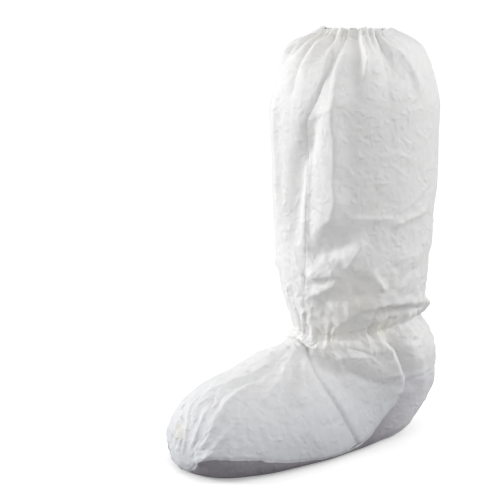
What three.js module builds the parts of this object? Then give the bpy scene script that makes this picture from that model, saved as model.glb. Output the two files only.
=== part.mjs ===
// A tall boot cover of thin white nonwoven fabric, standing as if it were on a foot. A wide leg is gathered by elastic
// at its rim and again at the ankle. Below the ankle a heel panel and a vamp meet in a slanting seam, and a sole
// panel closes the foot from below.
// Millimetres, +Z up, the toe points along -Y and +X is the side towards the viewer.
import * as THREE from "three";
import { mergeVertices } from "three/addons/utils/BufferGeometryUtils.js";

// Driving dimensions
const WALL = 1.2; // fabric panel
const CASING_WALL = 2.2; // hem folded over the top elastic
const ELASTIC_WALL = 1.0;
const GAP = 0.3; // between neighbouring pieces
const SEAM_HALF = 1.1; // half the width of a seam ridge
const SEAM_PROUD = 0.8; // how far a seam ridge stands out of the fabric
const SEAM_DEPTH = 0.6; // how far it reaches into the wall
const SLOT = SEAM_HALF + 1.2; // from a curved seam's line to the panel edges beside it
const STRAIGHT_SLOT = SEAM_HALF + 0.5; // the same beside the straighter front seam
const ORIGIN_BACK = 59; // from the leg's axis to the middle of the foot, along the foot
const RADIAN = Math.PI / 180;

// The boot cover is one long tube that bends at the ankle, cut by sections numbered along it: 0 at the rim, 10 at the
// ankle elastic, 14 at the slanting seam and 20 at the toe. frontY and backY are measured towards the toe from the
// leg's axis. widest says how far from front to back the section is widest, and frontRound and backRound are
// superellipse powers: 2 is round and 4 nearly square.
const SECTIONS = [
  { name: "rim", at: 0.0, frontY: 36, frontZ: 454, backY: -34, backZ: 453, half: 36, widest: 0.5, frontRound: 2.0, backRound: 2.0 },
  { name: "casing", at: 0.35, frontY: 45, frontZ: 448.5, backY: -43, backZ: 448.5, half: 44.5, widest: 0.5, frontRound: 2.0, backRound: 2.0 },
  { name: "flare", at: 0.7, frontY: 57, frontZ: 442, backY: -55, backZ: 444, half: 55, widest: 0.5, frontRound: 2.0, backRound: 2.0 },
  { name: "shoulder", at: 1.3, frontY: 71, frontZ: 432, backY: -71, backZ: 433, half: 68, widest: 0.5, frontRound: 2.0, backRound: 2.0 },
  { name: "drop", at: 2.2, frontY: 86, frontZ: 409, backY: -86, backZ: 407, half: 79, widest: 0.5, frontRound: 2.0, backRound: 2.0 },
  { name: "upper_calf", at: 3.2, frontY: 94, frontZ: 373, backY: -95, backZ: 368, half: 86, widest: 0.5, frontRound: 2.0, backRound: 2.0 },
  { name: "calf", at: 4.6, frontY: 91, frontZ: 316, backY: -95, backZ: 312, half: 86, widest: 0.5, frontRound: 2.0, backRound: 2.0 },
  { name: "mid_leg", at: 6.0, frontY: 89, frontZ: 259, backY: -91, backZ: 255, half: 84, widest: 0.5, frontRound: 2.0, backRound: 2.0 },
  { name: "shin", at: 7.4, frontY: 85, frontZ: 205, backY: -87, backZ: 200, half: 81, widest: 0.5, frontRound: 2.0, backRound: 2.0 },
  { name: "low_leg", at: 8.6, frontY: 77, frontZ: 168, backY: -83, backZ: 164, half: 74, widest: 0.5, frontRound: 2.0, backRound: 2.0 },
  { name: "overhang", at: 9.4, frontY: 70, frontZ: 146, backY: -90, backZ: 146, half: 64, widest: 0.5, frontRound: 2.0, backRound: 2.0 },
  { name: "ankle", at: 10.0, frontY: 67, frontZ: 130, backY: -86, backZ: 138, half: 52, widest: 0.5, frontRound: 2.0, backRound: 2.0 },
  { name: "heel_top", at: 10.6, frontY: 72, frontZ: 125, backY: -100, backZ: 120, half: 56, widest: 0.52, frontRound: 2.0, backRound: 2.0 },
  { name: "heel_back", at: 11.4, frontY: 78, frontZ: 123, backY: -107, backZ: 90, half: 60, widest: 0.55, frontRound: 2.0, backRound: 2.1 },
  { name: "heel_low", at: 12.2, frontY: 80, frontZ: 122, backY: -103, backZ: 54, half: 60, widest: 0.6, frontRound: 2.0, backRound: 2.3 },
  { name: "heel_turn", at: 12.9, frontY: 82, frontZ: 121, backY: -76, backZ: 16, half: 55, widest: 0.66, frontRound: 1.9, backRound: 2.7 },
  { name: "heel_floor", at: 13.4, frontY: 84, frontZ: 120, backY: -32, backZ: -3, half: 54, widest: 0.7, frontRound: 1.9, backRound: 3.2 },
  { name: "instep", at: 14.0, frontY: 88, frontZ: 118, backY: 20, backZ: -3, half: 60, widest: 0.74, frontRound: 1.9, backRound: 4.2 },
  { name: "waist", at: 15.0, frontY: 112, frontZ: 110, backY: 78, backZ: -3, half: 67, widest: 0.76, frontRound: 1.9, backRound: 4.4 },
  { name: "ball", at: 16.0, frontY: 144, frontZ: 100, backY: 132, backZ: -3, half: 67, widest: 0.76, frontRound: 1.9, backRound: 4.2 },
  { name: "toes", at: 17.0, frontY: 181, frontZ: 86, backY: 172, backZ: -3, half: 62, widest: 0.74, frontRound: 2.0, backRound: 3.4 },
  { name: "toe_cap", at: 18.0, frontY: 209, frontZ: 65, backY: 196, backZ: -2, half: 52, widest: 0.7, frontRound: 2.0, backRound: 3.0 },
  { name: "toe_front", at: 19.0, frontY: 222, frontZ: 41, backY: 210, backZ: 0, half: 35, widest: 0.62, frontRound: 2.0, backRound: 2.6 },
  { name: "toe_low", at: 19.7, frontY: 225, frontZ: 20, backY: 218, backZ: 3, half: 15, widest: 0.55, frontRound: 2.0, backRound: 2.0 },
  { name: "toe_tip", at: 20.0, frontY: 224, frontZ: 9, backY: 223, backZ: 8, half: 0.8, widest: 0.5, frontRound: 2.0, backRound: 2.0 },
];
const RIM = 0;
const CASING_EDGE = 0.35;
const ANKLE = 10;
const TOE = 20;

// How far the sole panel reaches up each side, in degrees of a section from the middle of its underside.
const SOLE_SPREAD = [
  { at: 11.8, spread: 88 },
  { at: 12.6, spread: 88 },
  { at: 13.2, spread: 89 },
  { at: 13.5, spread: 85 },
  { at: 13.75, spread: 78 },
  { at: 14.1, spread: 66 },
  { at: 14.5, spread: 62 },
  { at: 14.9, spread: 66 },
  { at: 15.4, spread: 77 },
  { at: 16.1, spread: 87 },
  { at: 16.8, spread: 92 },
  { at: 17.7, spread: 98 },
  { at: 18.6, spread: 105 },
  { at: 19.7, spread: 110 },
];
const SOLE_HEEL_END = { at: 11.8, round: 0.75 };
const SOLE_TOE_END = { at: 19.7, round: 0.7 };

// The front seam's angle from the middle of the front, at each height: the leg has slipped round a little.
const FRONT_SEAM = [
  { at: 0.0, angle: 22 },
  { at: 1.6, angle: 36 },
  { at: 2.7, angle: 31 },
  { at: 3.6, angle: 21 },
  { at: 5.5, angle: 20 },
  { at: 7.7, angle: 16 },
  { at: 9.0, angle: 11 },
  { at: 10.0, angle: 8 },
];

// Ridges (height above 0) and valleys (below 0) that run from one place on the surface to another.
const FOLDS = [
  { name: "side_crease_top", from: [1.0, 40], to: [4.8, 41], width: 15, height: 4.5 },
  { name: "side_crease_end", from: [4.6, 41], to: [6.0, 34], width: 13, height: 3.5 },
  { name: "front_hollow", from: [3.6, 4], to: [7.4, 3], width: 15, height: -5 },
  { name: "shoulder_puff", from: [0.5, -58], to: [1.9, -22], width: 17, height: 5 },
  { name: "shoulder_hollow", from: [1.9, -58], to: [3.1, -22], width: 16, height: -4 },
  { name: "rim_rib", from: [0.6, 63], to: [2.9, 62], width: 6, height: 3 },
  { name: "back_shoulder_hollow", from: [1.0, 76], to: [2.9, 99], width: 17, height: -4 },
  { name: "shadow_hollow", from: [5.9, 24], to: [6.5, 58], width: 20, height: -5 },
  { name: "slant_ridge", from: [7.4, 20], to: [6.3, 55], width: 11, height: 3.5 },
  { name: "s_fold_upper", from: [6.5, 64], to: [7.3, 52], width: 11, height: 4.5 },
  { name: "s_fold_lower", from: [7.3, 52], to: [8.4, 14], width: 11, height: 5 },
  { name: "s_fold_under", from: [7.5, 62], to: [8.8, 20], width: 10, height: -4.5 },
  { name: "level_crease", from: [5.8, 46], to: [5.85, 92], width: 7, height: 2 },
  { name: "slant_crease", from: [6.1, 76], to: [5.65, 122], width: 9, height: 3 },
  { name: "cuff_hollow", from: [8.7, 62], to: [8.9, 100], width: 13, height: -4.5 },
  { name: "back_overhang", from: [9.25, 96], to: [9.2, 165], width: 14, height: 3 },
  { name: "heel_hollow", from: [10.35, 92], to: [12.3, 97], width: 16, height: -9 },
  { name: "heel_edge", from: [10.8, 84], to: [12.5, 88], width: 9, height: 3.5 },
  { name: "heel_ridge", from: [12.4, 42], to: [11.5, 76], width: 8, height: 2.5 },
  { name: "heel_crease", from: [12.9, 50], to: [12.6, 78], width: 7, height: -2 },
  { name: "vamp_ridge_near", from: [13.9, 22], to: [15.6, 62], width: 13, height: 4 },
  { name: "vamp_ridge_mid", from: [14.4, 16], to: [16.3, 42], width: 10, height: 3 },
  { name: "vamp_valley", from: [14.2, 20], to: [15.9, 52], width: 9, height: -3 },
  { name: "toe_ridge", from: [16.4, 20], to: [18.0, 42], width: 9, height: 2.5 },
  { name: "toe_corner", from: [17.9, 66], to: [19.3, 66], width: 8, height: 3 },
  { name: "far_crease", from: [1.4, -62], to: [5.4, -74], width: 16, height: 4 },
  { name: "far_hollow", from: [3.2, -118], to: [7.2, -104], width: 22, height: -6 },
  { name: "far_slant", from: [6.2, -40], to: [7.6, -96], width: 13, height: 4 },
  { name: "far_cuff", from: [8.7, -48], to: [8.8, -112], width: 12, height: -4.5 },
  { name: "far_heel_hollow", from: [10.4, -94], to: [12.2, -88], width: 15, height: -7 },
  { name: "far_vamp_ridge", from: [13.9, -22], to: [15.8, -58], width: 13, height: 4 },
  { name: "calf_hollow", from: [3.6, 164], to: [6.8, 178], width: 24, height: -6 },
  { name: "calf_ridge", from: [5.4, 150], to: [8.2, 172], width: 14, height: 4 },
];

// Rows of small upright ruffles that the two elastics draw up.
const GATHERS = [
  { name: "rim_ruffle", at: 0.3, reach: 0.6, count: 16, phase: 0.4, height: 1.3 },
  { name: "shoulder_ruffle", at: 1.2, reach: 1.1, count: 11, phase: 1.9, height: 1.6 },
  { name: "ankle_ruffle", at: 9.9, reach: 0.5, count: 10, phase: 0.9, height: 1.5 },
  { name: "cuff_ruffle", at: 9.0, reach: 0.8, count: 9, phase: 2.6, height: 1.5 },
];

// Value of one column of a table at a station, by a cubic that never overshoots its rows.
function column(rows, key, at) {
  const last = rows.length - 2;
  let i = rows.findIndex((row, k) => k > last || rows[k + 1].at > at);
  i = Math.min(Math.max(i, 0), last);
  const span = (k) => rows[k + 1].at - rows[k].at;
  const slope = (k) => (rows[k + 1][key] - rows[k][key]) / span(k);
  const tangent = (k) => {
    if (k === 0) return slope(0);
    if (k > last) return slope(last);
    const [before, after] = [slope(k - 1), slope(k)];
    if (before * after <= 0) return 0;
    const [a, b] = [2 * span(k) + span(k - 1), span(k) + 2 * span(k - 1)];
    return (a + b) / (a / before + b / after);
  };
  const h = span(i);
  const t = Math.min(Math.max((at - rows[i].at) / h, 0), 1);
  return (
    rows[i][key] * (1 + 2 * t) * (1 - t) ** 2 +
    h * tangent(i) * t * (1 - t) ** 2 +
    rows[i + 1][key] * t * t * (3 - 2 * t) +
    h * tangent(i + 1) * t * t * (t - 1)
  );
}

// The section at a station, kept because many points share it.
const sectionCache = new Map();
function section(at) {
  const key = at.toFixed(5);
  if (!sectionCache.has(key)) {
    const keys = Object.keys(SECTIONS[0]).filter((k) => k !== "name" && k !== "at");
    sectionCache.set(key, Object.fromEntries(keys.map((k) => [k, column(SECTIONS, k, at)])));
  }
  return sectionCache.get(key);
}

// A point of the smooth outer surface. angle is in degrees from the front, positive on the +X side.
function smoothPoint(at, angle) {
  const s = section(at);
  const [c, n] = [Math.cos(angle * RADIAN), Math.sin(angle * RADIAN)];
  const power = 2 / (c >= 0 ? s.frontRound : s.backRound);
  const [along, across] = [Math.abs(c) ** power, Math.abs(n) ** power];
  const share = c >= 0 ? s.widest * (1 - along) : s.widest + (1 - s.widest) * along;
  return new THREE.Vector3(
    s.half * Math.sign(n) * across,
    ORIGIN_BACK - (s.frontY + (s.backY - s.frontY) * share),
    s.frontZ + (s.backZ - s.frontZ) * share,
  );
}

// How the smooth surface runs at a point: millimetres per station and per degree, and the outward normal.
function frameAt(at, angle) {
  const [stationStep, angleStep] = [0.04, 2];
  const low = Math.max(at - stationStep, RIM);
  const high = Math.min(at + stationStep, TOE);
  const along = smoothPoint(high, angle).sub(smoothPoint(low, angle));
  const around = smoothPoint(at, angle + angleStep).sub(smoothPoint(at, angle - angleStep));
  return {
    perStation: along.length() / (high - low),
    perDegree: around.length() / (2 * angleStep),
    normal: along.cross(around).normalize(),
  };
}

// Each fold as a line of points on the smooth surface.
const FOLD_LINES = FOLDS.map((fold) => {
  const points = [];
  const steps = 8;
  for (let i = 0; i <= steps; i++) {
    const [at, angle] = [0, 1].map((k) => THREE.MathUtils.lerp(fold.from[k], fold.to[k], i / steps));
    points.push(smoothPoint(at, angle));
  }
  return { ...fold, points };
});

// How far a point is pushed out by the folds, which fade towards their ends.
function foldRelief(point) {
  const [line, nearest] = [new THREE.Line3(), new THREE.Vector3()];
  let total = 0;
  for (const fold of FOLD_LINES) {
    let [closest, share] = [Infinity, 0];
    fold.points.slice(1).forEach((end, i) => {
      const t = line.set(fold.points[i], end).closestPointToPointParameter(point, true);
      const distance = line.at(t, nearest).distanceTo(point);
      if (distance < closest) [closest, share] = [distance, (i + t) / (fold.points.length - 1)];
    });
    const fade = THREE.MathUtils.smoothstep(Math.min(share, 1 - share), 0, 0.3);
    if (closest < 2 * fold.width) total += fold.height * fade * Math.exp(-1.6 * (closest / fold.width) ** 2);
  }
  return total;
}

function gatherRelief(at, angle) {
  return GATHERS.reduce((sum, g) => {
    const fade = Math.exp(-(((at - g.at) / g.reach) ** 2));
    return sum + g.height * fade * Math.cos(g.count * angle * RADIAN + g.phase);
  }, 0);
}

// A point of the folded fabric, offset outwards. Nothing reaches below the floor.
function surface(at, angle, { offset, floor, folded }) {
  const point = smoothPoint(at, angle);
  const raised = folded && point.z > 4 ? foldRelief(point) + gatherRelief(at, angle) : 0;
  point.addScaledVector(frameAt(at, angle).normal, raised + offset);
  point.z = Math.max(point.z, floor);
  return point;
}

// A closed solid between two skins over a grid of places. outer and inner give the two offsets from the surface.
// Where the first and last column fall together the sheet is a tube there, with no edge. Each cell is split along
// the diagonal that lies closer to the surface.
function sheet(places, { outer = 0, inner = -WALL, folded = true } = {}) {
  const skin = (offset, floor) =>
    places.map((row) => row.map(([at, angle]) => surface(at, angle, { offset, floor, folded })));
  const [out, into] = [skin(outer, 0), skin(inner, outer - inner)];
  const positions = [];
  const same = (a, b) => a.distanceTo(b) < 1e-3;
  const triangle = (a, b, c) => {
    if (!same(a, b) && !same(b, c) && !same(c, a)) [a, b, c].forEach((p) => positions.push(...p.toArray()));
  };
  const quad = (a, b, c, d, turned = false) => {
    const [p, q, r, t] = turned ? [b, c, d, a] : [a, b, c, d];
    triangle(p, q, r);
    triangle(p, r, t);
  };
  const middleOf = (a, b) => a.clone().add(b).multiplyScalar(0.5);
  const turnedAt = (r, c) => {
    const [[a0, a1], [b0, b1]] = [places[r][c], places[r + 1][c + 1]];
    const centre = surface((a0 + b0) / 2, (a1 + b1) / 2, { offset: outer, floor: 0, folded });
    const straight = middleOf(out[r][c], out[r + 1][c + 1]).distanceTo(centre);
    return middleOf(out[r + 1][c], out[r][c + 1]).distanceTo(centre) < straight;
  };
  const [lastRow, lastColumn] = [places.length - 1, places[0].length - 1];
  for (let r = 0; r < lastRow; r++) {
    for (let c = 0; c < lastColumn; c++) {
      const turned = turnedAt(r, c);
      quad(out[r][c], out[r + 1][c], out[r + 1][c + 1], out[r][c + 1], turned);
      quad(into[r][c + 1], into[r + 1][c + 1], into[r + 1][c], into[r][c], !turned);
    }
    const closed = same(out[r][0], out[r][lastColumn]) && same(out[r + 1][0], out[r + 1][lastColumn]);
    const pole = same(out[r][0], out[r][1]) || same(out[r + 1][0], out[r + 1][1]);
    if (!closed || pole) {
      quad(out[r][0], into[r][0], into[r + 1][0], out[r + 1][0]);
      quad(out[r][lastColumn], out[r + 1][lastColumn], into[r + 1][lastColumn], into[r][lastColumn]);
    }
  }
  for (let c = 0; c < lastColumn; c++) {
    quad(out[0][c], out[0][c + 1], into[0][c + 1], into[0][c]);
    quad(out[lastRow][c], into[lastRow][c], into[lastRow][c + 1], out[lastRow][c + 1]);
  }
  const geometry = new THREE.BufferGeometry();
  geometry.setAttribute("position", new THREE.Float32BufferAttribute(positions, 3));
  const merged = mergeVertices(geometry, 1e-3);
  merged.computeVertexNormals();
  return merged;
}

// A grid of places: rows and columns are lists, and place turns a pair of them into [station, angle].
const grid = (rows, columns, place) => rows.map((r) => columns.map((c) => place(r, c)));

const spread = (from, to, count) => Array.from({ length: count + 1 }, (_, i) => from + ((to - from) * i) / count);

// The slanting seam: up at the ankle in the middle of the front, and down to the sole on each side.
const SLANT = { station: 14.05, rise: 3.35, width: 22, heelSlot: SLOT + 2.6 };
const slantStation = (angle) => SLANT.station - SLANT.rise * Math.exp(-((angle / SLANT.width) ** 2));

// Half the angle that the sole takes up at a station, for an edge moved outwards by some millimetres.
function soleHalfAngle(at, outwards) {
  const bottom = frameAt(Math.min(Math.max(at, 12), 19.5), 180);
  const reach = outwards / bottom.perStation;
  const end = (edge, inside) => {
    const share = Math.min(Math.max(inside / edge.round, 0), 1);
    return Math.sqrt(1 - (1 - share) ** 2);
  };
  const heel = end(SOLE_HEEL_END, at - (SOLE_HEEL_END.at - reach));
  const toe = end(SOLE_TOE_END, SOLE_TOE_END.at + reach - at);
  const angle = column(SOLE_SPREAD, "spread", at);
  const edge = frameAt(at, 180 - angle);
  return (angle + outwards / edge.perDegree) * heel * toe;
}

const frontSeamAngle = (at) => column(FRONT_SEAM, "angle", at);

// The sole's rows lie closer together at its two rounded ends. The pieces beside it and the seam have the same rows.
const SOLE_ROWS = 24;
const HEEL_ROWS = 9; // those of them that are behind the slanting seam
function soleStation(row, outwards) {
  const end = (edge) => outwards / frameAt(edge.at, 180).perStation;
  const share = (1 - Math.cos((Math.PI * row) / SOLE_ROWS)) / 2;
  return THREE.MathUtils.lerp(SOLE_HEEL_END.at - end(SOLE_HEEL_END), SOLE_TOE_END.at + end(SOLE_TOE_END), share);
}

function solePanel() {
  return sheet(
    grid(spread(0, SOLE_ROWS, SOLE_ROWS), spread(-1, 1, 10), (row, across) => {
      const at = soleStation(row, -SLOT);
      return [at, 180 + across * soleHalfAngle(at, -SLOT)];
    }),
  );
}

const LEG_ROWS = [0.363, 0.8, 1.3, 1.9, 2.6, 3.3, 4.0, 4.7, 5.4, 6.0, 6.6, 7.1, 7.6, 8.1, 8.6, 9.05, 9.5, 9.965];
function legPanel() {
  return sheet(
    grid(LEG_ROWS, spread(0, 1, 64), (at, share) => {
      const angle = frontSeamAngle(at);
      const edge = STRAIGHT_SLOT / frameAt(at, angle).perDegree;
      return [at, angle + edge + (360 - 2 * edge) * share];
    }),
  );
}

// Half the angle that the upper pieces take up at a station: up to the sole seam, or all round where there is no sole.
function upperHalfAngle(at) {
  const sole = soleHalfAngle(at, SLOT);
  return sole > 0.01 ? 180 - sole : 180;
}

// The edge of a piece beside the slanting seam, at a signed distance in millimetres towards the toe. Where the seam
// runs aslant to the stations, the same distance is more of a station.
function besideSlant(angle, towardsToe) {
  const seam = slantStation(angle);
  const { perStation, perDegree } = frameAt(seam, angle);
  const slope = ((slantStation(angle + 1) - slantStation(angle - 1)) / 2) * (perStation / perDegree);
  return seam + (towardsToe * Math.hypot(1, slope)) / perStation;
}

// Shares of the way from the front to the side, closer together at the front where the slanting seam bends. The
// heel, the vamp and the seam between them have the same columns.
const SIDE_SHARES = spread(0, 1, 14).map((share) => share ** 1.2);
const ACROSS = [...SIDE_SHARES.slice(1).reverse().map((share) => -share), ...SIDE_SHARES];

// The heel panel is a ring. Its upper edge is at the ankle, and its lower edge follows the slanting seam from the
// front to each side and then the sole seam to the back. Each column bends over to meet the lower edge squarely.
const CORNER = { at: 13.9, vampAt: 13.97, topAngle: 58, bend: 4 };
const SOLE_COLUMN_TOPS = [180, 160, 138, 118, 100, 86, 78, 71, 65];
function heelPanel() {
  const side = SIDE_SHARES.map((share) => {
    const angle = upperHalfAngle(CORNER.at) * share;
    const at = Math.max(besideSlant(angle, -SLANT.heelSlot), ANKLE + 0.25);
    return { top: CORNER.topAngle * share, at, angle };
  });
  for (let row = SOLE_COLUMN_TOPS.length - 1; row >= 0; row--) {
    const at = soleStation(row, SLOT);
    side.push({ top: SOLE_COLUMN_TOPS[row], at, angle: row > 0 ? upperHalfAngle(at) : 180 });
  }
  const other = side.slice(1, -1).map((c) => ({ top: -c.top, at: c.at, angle: -c.angle }));
  const wrapped = { ...side.at(-1), top: -180, angle: -180 };
  const ring = [wrapped, ...other.reverse(), ...side];
  return sheet(
    grid([0, 0.12, 0.24, 0.36, 0.48, 0.6, 0.71, 0.81, 0.91, 1], ring, (share, c) => [
      THREE.MathUtils.lerp(ANKLE + 0.03, c.at, share),
      THREE.MathUtils.lerp(c.top, c.angle, share ** CORNER.bend),
    ]),
  );
}

function vampPanel() {
  const beside = spread(HEEL_ROWS, SOLE_ROWS, SOLE_ROWS - HEEL_ROWS).map((row) => soleStation(row, SLOT));
  return sheet(
    grid([CORNER.vampAt, ...beside, 19.88, TOE], ACROSS, (flat, across) => {
      const share = (flat - CORNER.vampAt) / (TOE - CORNER.vampAt);
      const angle = across * upperHalfAngle(flat);
      return [THREE.MathUtils.lerp(besideSlant(angle, SLOT), TOE, share), angle];
    }),
  );
}

// A low ridge along a seam: path gives the two edges of the ridge at each share of its length.
function seamRidge(shares, path) {
  return sheet(
    shares.map((share) => path(share)),
    { outer: SEAM_PROUD, inner: -SEAM_DEPTH },
  );
}

function frontSeam() {
  return seamRidge(LEG_ROWS, (at) => {
    const angle = frontSeamAngle(at);
    const half = SEAM_HALF / frameAt(at, angle).perDegree;
    return [[at, angle - half], [at, angle + half]];
  });
}

function slantSeam() {
  const reach = upperHalfAngle(SLANT.station) - 2;
  return seamRidge(ACROSS, (across) => [
    [besideSlant(reach * across, SEAM_HALF), reach * across],
    [besideSlant(reach * across, -SEAM_HALF), reach * across],
  ]);
}

// The sole seam goes once round: down one side of the sole, round the heel and back up the other side.
function soleSeam() {
  return seamRidge(spread(0, 2 * SOLE_ROWS, 2 * SOLE_ROWS), (step) => {
    const side = step <= SOLE_ROWS ? 1 : -1;
    return [-SEAM_HALF, SEAM_HALF].map((outwards) => {
      const at = soleStation(Math.abs(SOLE_ROWS - step), outwards);
      return [at, 180 - side * soleHalfAngle(at, outwards)];
    });
  });
}

// The hem at the rim that holds the top elastic, drawn up with the leg's ruffles.
function topCasing() {
  return sheet(
    grid([RIM, CASING_EDGE / 2, CASING_EDGE], spread(0, 360, 64), (at, angle) => [at, angle]),
    { outer: 0, inner: -CASING_WALL },
  );
}

// An elastic lies smooth against the inside of the ruffles that it draws up.
function elastic(rows, wall, ruffle) {
  const outer = -(wall + ruffle + GAP);
  const places = grid(rows, spread(0, 360, 36), (at, angle) => [at, angle]);
  return sheet(places, { outer, inner: outer - ELASTIC_WALL, folded: false });
}

const FABRIC = { color: 0xf4f4f3, roughness: 0.85, metalness: 0 };
const materials = {
  fabric: new THREE.MeshStandardMaterial(FABRIC),
  sole: new THREE.MeshStandardMaterial({ ...FABRIC, color: 0xdcdce0, roughness: 0.75 }),
  seam: new THREE.MeshStandardMaterial({ ...FABRIC, color: 0xeeeeea, roughness: 0.9 }),
  elastic: new THREE.MeshStandardMaterial({ ...FABRIC, color: 0xe9e6cf, roughness: 0.8 }),
};

const bootCover = new THREE.Group();
function add(name, geometry, material) {
  const mesh = new THREE.Mesh(geometry, material);
  mesh.name = name;
  bootCover.add(mesh);
}

add("leg_panel", legPanel(), materials.fabric);
add("heel_panel", heelPanel(), materials.fabric);
add("vamp_panel", vampPanel(), materials.fabric);
add("sole_panel", solePanel(), materials.sole);
add("top_casing", topCasing(), materials.fabric);
add("top_elastic", elastic([RIM + 0.06, CASING_EDGE - 0.04], CASING_WALL, 2), materials.elastic);
add("ankle_elastic", elastic([ANKLE - 0.25, ANKLE, ANKLE + 0.15], WALL, 2.3), materials.elastic);
add("front_seam", frontSeam(), materials.seam);
add("slant_seam", slantSeam(), materials.seam);
add("sole_seam", soleSeam(), materials.seam);

export default bootCover;
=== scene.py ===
import math

import bmesh
import bpy
import numpy as np
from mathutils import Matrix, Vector


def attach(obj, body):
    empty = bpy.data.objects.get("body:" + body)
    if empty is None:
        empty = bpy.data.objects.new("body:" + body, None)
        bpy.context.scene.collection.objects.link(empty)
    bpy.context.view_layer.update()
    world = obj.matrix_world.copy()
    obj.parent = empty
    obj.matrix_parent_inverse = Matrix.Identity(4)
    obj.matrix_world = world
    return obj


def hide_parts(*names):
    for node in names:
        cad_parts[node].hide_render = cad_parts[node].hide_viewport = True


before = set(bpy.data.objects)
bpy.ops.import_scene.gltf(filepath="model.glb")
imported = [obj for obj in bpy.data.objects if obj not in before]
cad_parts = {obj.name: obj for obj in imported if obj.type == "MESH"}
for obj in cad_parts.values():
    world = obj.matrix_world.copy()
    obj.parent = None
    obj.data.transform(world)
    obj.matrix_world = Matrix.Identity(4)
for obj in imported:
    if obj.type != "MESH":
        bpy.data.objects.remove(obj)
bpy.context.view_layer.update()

# A tall boot cover of thin white nonwoven fabric, standing as if it were on a foot. Its surface is worked
# out in millimetres, the way the solids are, from a station along the boot and an angle round it, in degrees
# from the middle of the front. The meshes are in metres.

METRE = 0.001
WALL = 0.8  # visible thickness of one layer of fabric
ORIGIN_BACK = 59.0  # from the leg's axis to the middle of the foot, along the foot
CASING_EDGE = 0.35  # station of the hem's stitched edge
ANKLE = 10.0  # station of the ankle elastic
TOE = 20.0  # station of the tip of the toe

# Sections along the boot: 0 at the rim, 10 at the ankle elastic, 14 at the slanting seam and 20 at the toe.
# front and back are the ends of the section, half is its half width, and widest is where the width is
# reached on the way from front to back. front_round and back_round are 2 for an ellipse, more for a box.
SECTIONS = {
    "columns": (
        "at", "front_y", "front_z", "back_y", "back_z",
        "half", "widest", "front_round", "back_round",
    ),
    "rim": (0.0, 36, 454, -34, 453, 36, 0.5, 2, 2),
    "casing": (0.35, 45, 448.5, -43, 448.5, 44.5, 0.5, 2, 2),
    "flare": (0.7, 57, 442, -55, 444, 55, 0.5, 2, 2),
    "shoulder": (1.3, 71, 432, -71, 433, 68, 0.5, 2, 2),
    "drop": (2.2, 86, 409, -86, 407, 79, 0.5, 2, 2),
    "upper_calf": (3.2, 94, 373, -95, 368, 86, 0.5, 2, 2),
    "calf": (4.6, 91, 316, -95, 312, 86, 0.5, 2, 2),
    "mid_leg": (6.0, 89, 259, -91, 255, 84, 0.5, 2, 2),
    "shin": (7.4, 85, 205, -87, 200, 81, 0.5, 2, 2),
    "low_leg": (8.6, 77, 168, -83, 164, 74, 0.5, 2, 2),
    "overhang": (9.4, 70, 146, -90, 146, 64, 0.5, 2, 2),
    "ankle": (10.0, 67, 130, -86, 138, 52, 0.5, 2, 2),
    "heel_top": (10.6, 72, 125, -100, 120, 56, 0.52, 2, 2),
    "heel_back": (11.4, 78, 123, -107, 90, 60, 0.55, 2.0, 2.1),
    "heel_low": (12.2, 80, 122, -103, 54, 60, 0.6, 2.0, 2.3),
    "heel_turn": (12.9, 82, 121, -76, 16, 55, 0.66, 1.9, 2.7),
    "heel_floor": (13.4, 84, 120, -32, -3, 54, 0.7, 1.9, 3.2),
    "instep": (14.0, 88, 118, 20, -3, 60, 0.74, 1.9, 4.2),
    "waist": (15.0, 112, 110, 78, -3, 67, 0.76, 1.9, 4.4),
    "ball": (16.0, 144, 100, 132, -3, 67, 0.76, 1.9, 4.2),
    "toes": (17.0, 181, 86, 172, -3, 62, 0.74, 2.0, 3.4),
    "toe_cap": (18.0, 209, 65, 196, -2, 52, 0.7, 2.0, 3.0),
    "toe_front": (19.0, 222, 41, 210, 0, 35, 0.62, 2.0, 2.6),
    "toe_low": (19.7, 225, 20, 218, 3, 15, 0.55, 2, 2),
    "toe_tip": (20.0, 224, 9, 223, 8, 0.8, 0.5, 2, 2),
}

# How far the sole reaches up each side, in degrees from the middle of the underside, at a station.
SOLE_SPREAD = {
    "columns": ("at", "spread"),
    "heel": (11.8, 88),
    "heel_turn": (12.6, 88),
    "heel_floor": (13.2, 89),
    "arch_start": (13.5, 85),
    "arch_back": (13.75, 78),
    "arch": (14.1, 66),
    "arch_top": (14.5, 62),
    "arch_front": (14.9, 66),
    "ball_start": (15.4, 77),
    "ball": (16.1, 87),
    "toes": (16.8, 92),
    "toe_cap": (17.7, 98),
    "toe_front": (18.6, 105),
    "toe_end": (19.7, 110),
}
# The two ends of the sole, with how far its corner is rounded, in stations.
SOLE_HEEL_END = {"at": 11.8, "round": 0.75}
SOLE_TOE_END = {"at": 19.7, "round": 0.7}
# Rows from the sole's heel end to its toe end, and those of them that the heel panel meets.
SOLE_ROWS = 24.0
HEEL_ROWS = 9.0

# The front seam's angle from the middle of the front, at a station.
FRONT_SEAM = {
    "columns": ("at", "angle"),
    "rim": (0.0, 22),
    "shoulder": (1.6, 36),
    "drop": (2.7, 31),
    "calf": (3.6, 21),
    "mid_leg": (5.5, 20),
    "shin": (7.7, 16),
    "overhang": (9.0, 11),
    "ankle": (10.0, 8),
}

# The slanting seam: its station at the sole, how far it rises over the instep, and over how many degrees.
SLANT = {"station": 14.05, "rise": 3.35, "width": 22.0}
# Where the heel panel, the vamp and the sole meet, and how the heel panel's columns bend towards it.
CORNER = {"at": 13.9, "vamp_at": 13.97, "top_angle": 58.0, "bend": 4}
# The angle at the ankle of the heel panel's column that ends at each row of the sole.
SOLE_COLUMN_TOPS = (180, 160, 138, 118, 100, 86, 78, 71, 65)
SOLE_COLUMN_STEP = 7  # degrees from one row to the next beyond that table

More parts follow.
